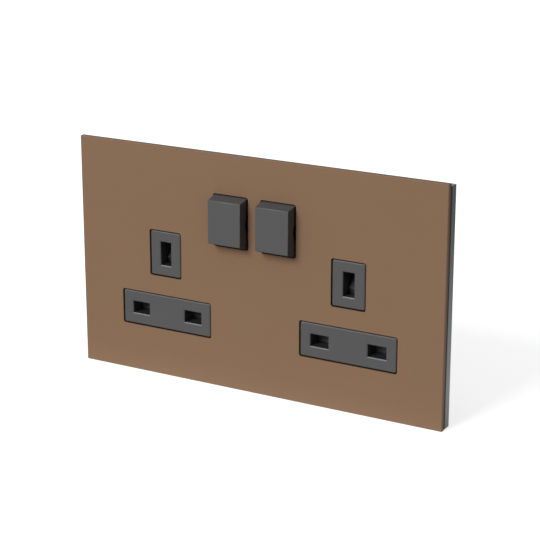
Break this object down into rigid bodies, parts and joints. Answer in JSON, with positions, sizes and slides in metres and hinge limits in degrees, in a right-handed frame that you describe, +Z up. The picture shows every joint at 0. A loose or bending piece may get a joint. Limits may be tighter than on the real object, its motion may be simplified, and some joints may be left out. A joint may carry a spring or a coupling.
{
  "type": "switched socket outlet",
  "caption": "Flush twin wall socket for plugs with three flat pins, with a rocker switch for each socket, sprung shutters and a clip-on bronze plate.",
  "frame": {"origin": "in the wall plane, midway between the two wall fixing holes", "axes": "+X along the plate to the viewer's right, +Z up, -Y out of the wall towards the viewer"},
  "size_m": [0.146, 0.0335, 0.086],
  "materials": {
    "bronze_plate": "matt bronze lacquer on steel",
    "liner_film": "thin black insulating sheet",
    "spring_steel": "plain spring steel",
    "frame_plastic": "satin grey moulding",
    "zinc_steel": "bright zinc plating",
    "grey_moulding": "satin dark grey moulding",
    "housing_plastic": "fine matt black moulding",
    "brass_strip": "stamped brass strip",
    "brass_block": "milled brass",
    "brass_screw": "turned brass",
    "silver_tip": "silver alloy",
    "copper_strip": "stamped copper alloy",
    "shutter_plastic": "smooth grey moulding",
    "grey_rocker": "satin dark grey moulding",
    "plunger_plastic": "natural acetal moulding"
  },
  "bodies": {
    "housing": {"front_plate": "bronze_plate", "plate_liner": "liner_film", "plate_clips": "spring_steel", "mounting_frame": "frame_plastic", "frame_screws": "zinc_steel", "front_moulding": "grey_moulding", "rear_housing": "housing_plastic", "housing_screws": "zinc_steel", "line_busbar": "brass_strip", "neutral_busbar": "brass_strip", "earth_busbar": "brass_strip", "line_terminal": "brass_block", "neutral_terminal": "brass_block", "earth_terminal_left": "brass_block", "earth_terminal_right": "brass_block", "terminal_screws": "brass_screw", "line_contact_left": "brass_strip", "fixed_tip_left": "silver_tip", "shutter_cover_left": "housing_plastic", "shutter_spring_left": "spring_steel", "line_contact_right": "brass_strip", "fixed_tip_right": "silver_tip", "shutter_cover_right": "housing_plastic", "shutter_spring_right": "spring_steel"},
    "rocker_left": {"rocker_left": "grey_rocker", "plunger_spring_left": "spring_steel"},
    "plunger_left": {"plunger_left": "plunger_plastic"},
    "moving_contact_left": {"moving_contact_left": "copper_strip", "moving_tip_left": "silver_tip"},
    "shutter_left": {"shutter_left": "shutter_plastic"},
    "rocker_right": {"rocker_right": "grey_rocker", "plunger_spring_right": "spring_steel"},
    "plunger_right": {"plunger_right": "plunger_plastic"},
    "moving_contact_right": {"moving_contact_right": "copper_strip", "moving_tip_right": "silver_tip"},
    "shutter_right": {"shutter_right": "shutter_plastic"}
  },
  "joints": [
    {"name": "rocker_left_tilt", "type": "hinge", "parent": "housing", "child": "rocker_left", "pos_m": [-0.00953, -0.00335, 0.0191], "axis": [1, 0, 0], "range_deg": [-6, 6]},
    {"name": "plunger_left_slide", "type": "slide", "parent": "rocker_left", "child": "plunger_left", "axis": [0, -1, 0], "range_m": [0, 0.0008], "stiffness_N_per_m": 300, "springref_m": -0.002, "deforming": ["plunger_spring_left"]},
    {"name": "moving_contact_left_tilt", "type": "hinge", "parent": "housing", "child": "moving_contact_left", "pos_m": [-0.00953, 0.0089, 0.0191], "axis": [1, 0, 0], "range_deg": [-7, 7]},
    {"name": "shutter_left_slide", "type": "slide", "parent": "housing", "child": "shutter_left", "axis": [0, 0, -1], "range_m": [0, 0.0055], "stiffness_N_per_m": 60, "springref_m": -0.003, "deforming": ["shutter_spring_left"]},
    {"name": "rocker_right_tilt", "type": "hinge", "parent": "housing", "child": "rocker_right", "pos_m": [0.00953, -0.00335, 0.0191], "axis": [1, 0, 0], "range_deg": [-6, 6]},
    {"name": "plunger_right_slide", "type": "slide", "parent": "rocker_right", "child": "plunger_right", "axis": [0, -1, 0], "range_m": [0, 0.0008], "stiffness_N_per_m": 300, "springref_m": -0.002, "deforming": ["plunger_spring_right"]},
    {"name": "moving_contact_right_tilt", "type": "hinge", "parent": "housing", "child": "moving_contact_right", "pos_m": [0.00953, 0.0089, 0.0191], "axis": [1, 0, 0], "range_deg": [-7, 7]},
    {"name": "shutter_right_slide", "type": "slide", "parent": "housing", "child": "shutter_right", "axis": [0, 0, -1], "range_m": [0, 0.0055], "stiffness_N_per_m": 60, "springref_m": -0.003, "deforming": ["shutter_spring_right"]}
  ],
  "couplings": [
    {"joint": "moving_contact_left_tilt", "follows": "rocker_left_tilt", "ratio": -1.1429},
    {"joint": "moving_contact_right_tilt", "follows": "rocker_right_tilt", "ratio": -1.1429}
  ]
}
